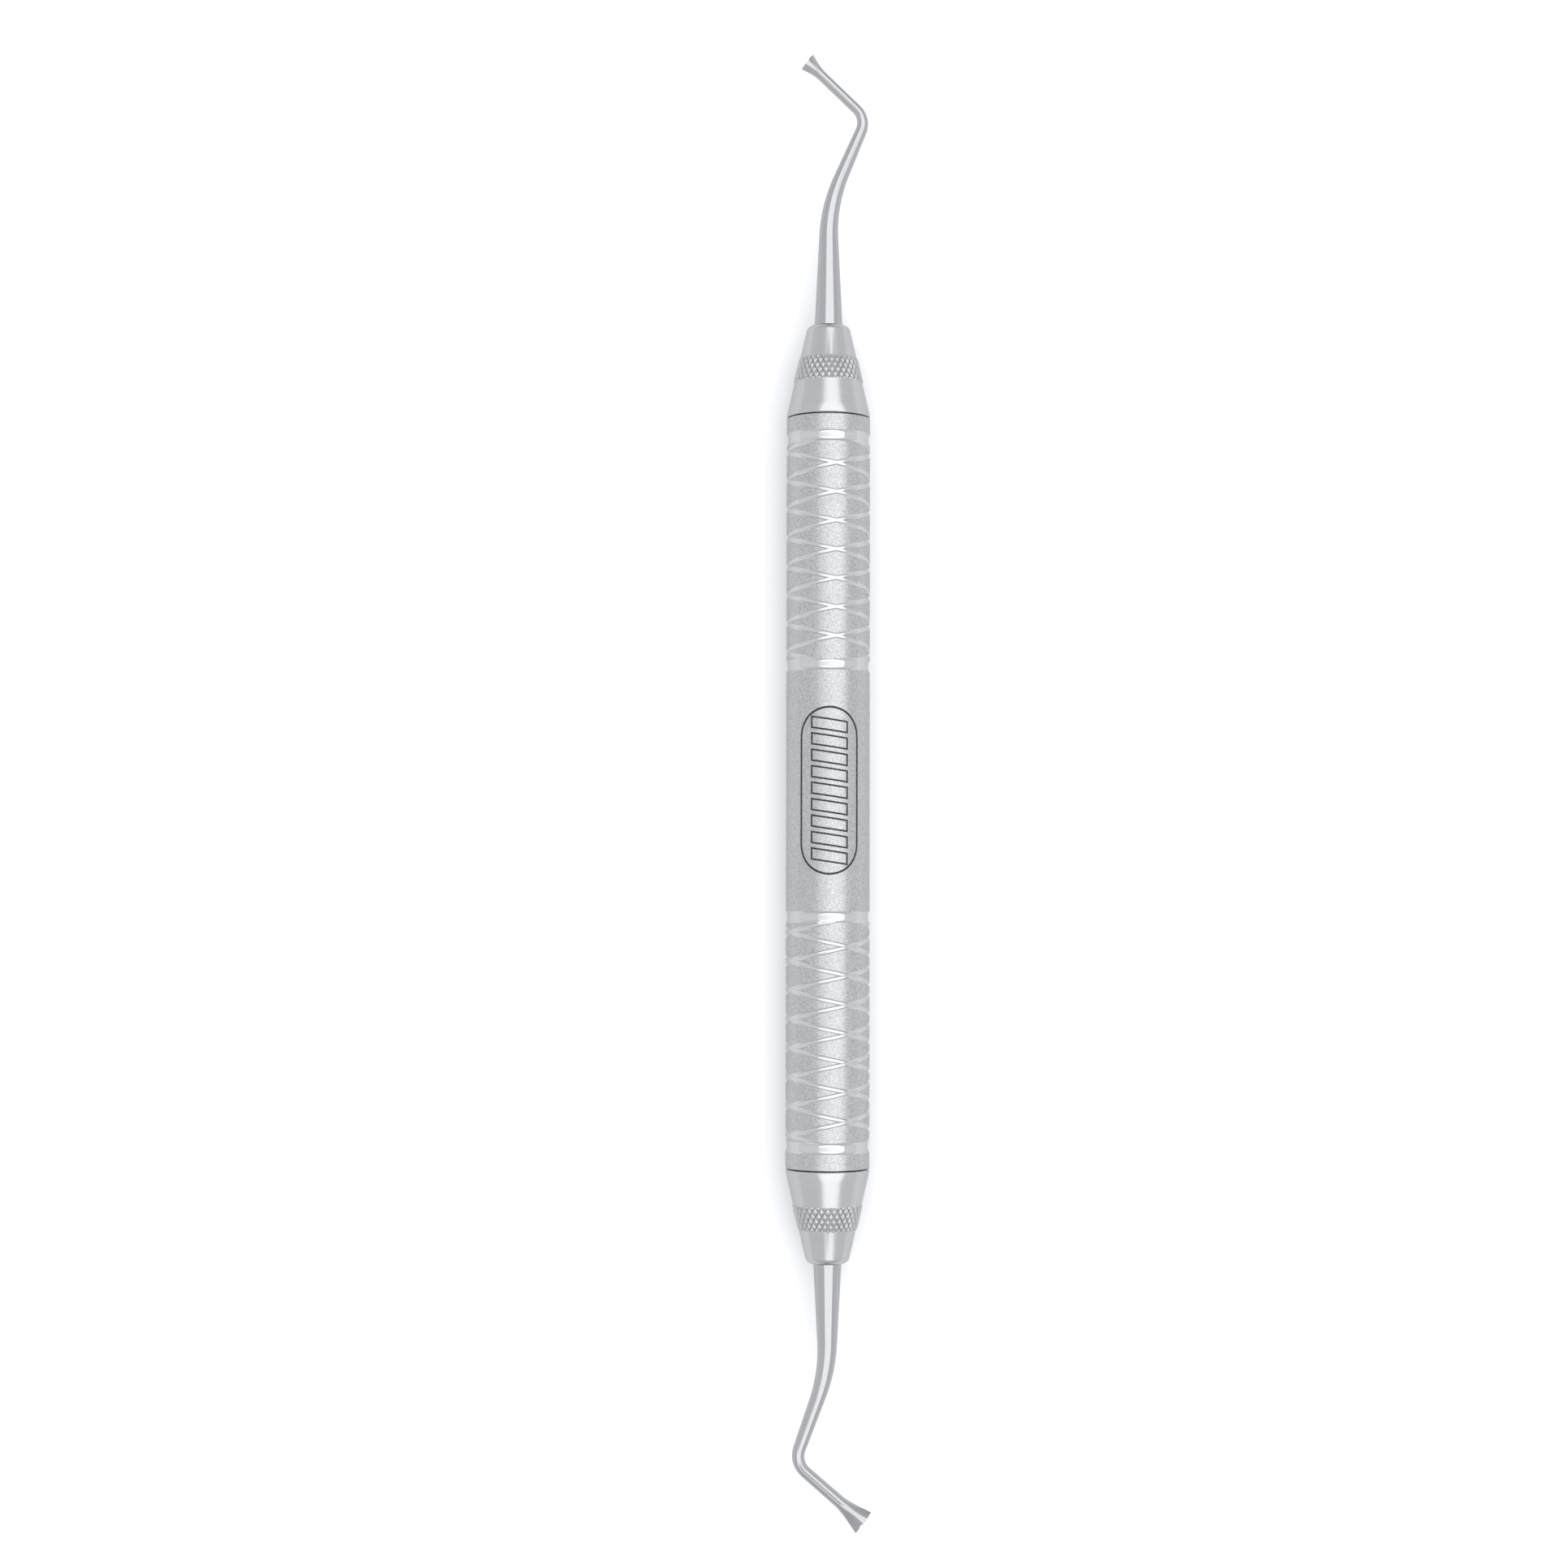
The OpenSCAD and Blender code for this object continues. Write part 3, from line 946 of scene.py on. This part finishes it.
def build_floor():
    mesh = bpy.data.meshes.new("floor")
    corners = [(-1, -1), (1, -1), (1, 1), (-1, 1)]
    floor_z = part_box("handle_tube")[0].z
    points = [(FLOOR_HALF_W * x, FLOOR_HALF_W * y, floor_z) for x, y in corners]
    mesh.from_pydata(points, [], [(0, 1, 2, 3)])
    mesh.materials.append(floor_paint())
    floor = bpy.data.objects.new("floor", mesh)
    bpy.context.scene.collection.objects.link(floor)


def add_light(name, shape, where, aim, size, radiance):
    """An area light of a given radiance. It doesn't show to the camera."""
    light = bpy.data.lights.new(name, "AREA")
    light.shape = shape
    light.size, light.size_y = size
    area = size[0] * size[1] * (math.pi / 4 if shape == "ELLIPSE" else 1)
    light.energy = radiance * math.pi * area
    lamp = bpy.data.objects.new(name, light)
    back = (Vector(where) - Vector(aim)).normalized()
    up = Vector((1, 0, 0))
    right = up.cross(back)
    lamp.matrix_world = placed(right, up, back, Vector(where))
    lamp.visible_camera = False
    bpy.context.scene.collection.objects.link(lamp)
    return light


def placed(right, up, back, where):
    return Matrix([(*axes, at) for *axes, at in zip(right, up, back, where)] + [(0, 0, 0, 1)])


def shape_key(light):
    """Dims a strip across the middle of the softbox, more so toward its left edge."""
    light.use_nodes = True
    nodes, links = light.node_tree.nodes, light.node_tree.links
    spot = nodes.new("ShaderNodeSeparateXYZ")
    links.new(nodes.new("ShaderNodeNewGeometry").outputs["Parametric"], spot.inputs[0])

    def spread(value, from_low, from_high, low, high):
        node = nodes.new("ShaderNodeMapRange")
        for name, number in (("From Min", from_low), ("From Max", from_high),
                             ("To Min", low), ("To Max", high)):
            node.inputs[name].default_value = number
        links.new(value, node.inputs["Value"])
        return node.outputs["Result"]

    def math_node(operation, first, second):
        node = nodes.new("ShaderNodeMath")
        node.operation = operation
        for socket, value in zip(node.inputs, (first, second)):
            if isinstance(value, float):
                socket.default_value = value
            else:
                links.new(value, socket)
        return node.outputs[0]

    from_middle = math_node("ABSOLUTE", math_node("SUBTRACT", spot.outputs["Y"], KEY_STRIP_AT), 0.0)
    strip = spread(from_middle, *KEY_STRIP_EDGE, 1.0, 0.0)
    dim = spread(spot.outputs["X"], 0.0, KEY_STRIP_RISE, *KEY_STRIP_LEVELS)
    loss = math_node("MULTIPLY", strip, math_node("SUBTRACT", 1.0, dim))
    links.new(math_node("SUBTRACT", 1.0, loss), nodes["Emission"].inputs["Strength"])


def build_world():
    """A pale room, darker beyond the two ends of the object."""
    world = bpy.data.worlds.new("studio")
    world.use_nodes = True
    nodes, links = world.node_tree.nodes, world.node_tree.links
    toward = nodes.new("ShaderNodeSeparateXYZ")
    links.new(nodes.new("ShaderNodeTexCoord").outputs["Generated"], toward.inputs[0])
    endways = nodes.new("ShaderNodeMath")
    endways.operation = "ABSOLUTE"
    links.new(toward.outputs["X"], endways.inputs[0])
    ramp = nodes.new("ShaderNodeValToRGB")
    links.new(endways.outputs[0], ramp.inputs[0])
    stops = ramp.color_ramp.elements
    stops.new(0.5)
    for stop, (position, level) in zip(stops, WORLD_LEVELS):
        stop.position = position
        stop.color = [level * c for c in WORLD_TINT] + [1]
    links.new(ramp.outputs["Color"], nodes["Background"].inputs["Color"])
    nodes["Background"].inputs["Strength"].default_value = STUDIO
    bpy.context.scene.world = world


def build_lights():
    """A wide overhead softbox, set a little to the right."""
    build_world()
    where = (KEY_UP * KEY_HEIGHT, -KEY_OFF_AXIS * KEY_HEIGHT, KEY_HEIGHT)
    size = [s * KEY_HEIGHT for s in KEY_SIZE]
    key = add_light("key", "ELLIPSE", where, (*where[:2], 0), size, STUDIO * KEY_LEVEL)
    shape_key(key)


def build_camera():
    """The camera looks almost straight down, with the object's upper end up the frame."""
    tilt, roll = math.radians(CAMERA_TILT), math.radians(CAMERA_ROLL)
    back = Vector((-math.sin(tilt), 0, math.cos(tilt)))
    turn = Matrix.Rotation(roll, 3, back)
    up = turn @ Vector((math.cos(tilt), 0, math.sin(tilt)))
    right = turn @ Vector((0, -1, 0))
    camera = bpy.data.objects.new("camera", bpy.data.cameras.new("camera"))
    camera.matrix_world = placed(right, up, back, Vector(CAMERA_AIM) + back * CAMERA_DISTANCE)
    camera.data.sensor_width = SENSOR_W
    camera.data.lens = CAMERA_LENS
    camera.data.clip_start = 0.02
    bpy.context.scene.collection.objects.link(camera)
    bpy.context.scene.camera = camera
    bpy.context.scene.view_settings.view_transform = "Standard"


# ---------------------------------------------------------------- the scene

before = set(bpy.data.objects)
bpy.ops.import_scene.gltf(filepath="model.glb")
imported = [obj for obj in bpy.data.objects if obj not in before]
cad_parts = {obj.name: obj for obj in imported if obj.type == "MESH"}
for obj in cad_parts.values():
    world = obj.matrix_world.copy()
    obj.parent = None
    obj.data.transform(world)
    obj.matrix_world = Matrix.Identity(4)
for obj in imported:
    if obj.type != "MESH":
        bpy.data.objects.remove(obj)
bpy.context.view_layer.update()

tube_low, tube_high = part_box("handle_tube")
mouth_x = tube_high.x
handle_r = tube_high.z - HANDLE_SKIN

bright_groove = groove_steel()
turned = turned_steel()
# the knurl's valleys get a darker base colour: painted shade where they lie in shadow, with a little
# grime
knurled = turned_steel("knurl_painted_shade_steel", 0.2, 0.72)
build_handle([blasted_steel(), bright_groove])
build_mark(etched_oxide())
rubber, polished = seal_rubber(), polished_steel()
for end_name in ENDS:
    build_cone(end_name, [turned, knurled])
    build_seal(end_name, rubber)
    build_working_end(end_name, polished)
    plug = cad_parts[f"{end_name}_end_plug"]
    plug.data.materials.clear()
    plug.data.materials.append(turned)

build_floor()
build_lights()
build_camera()
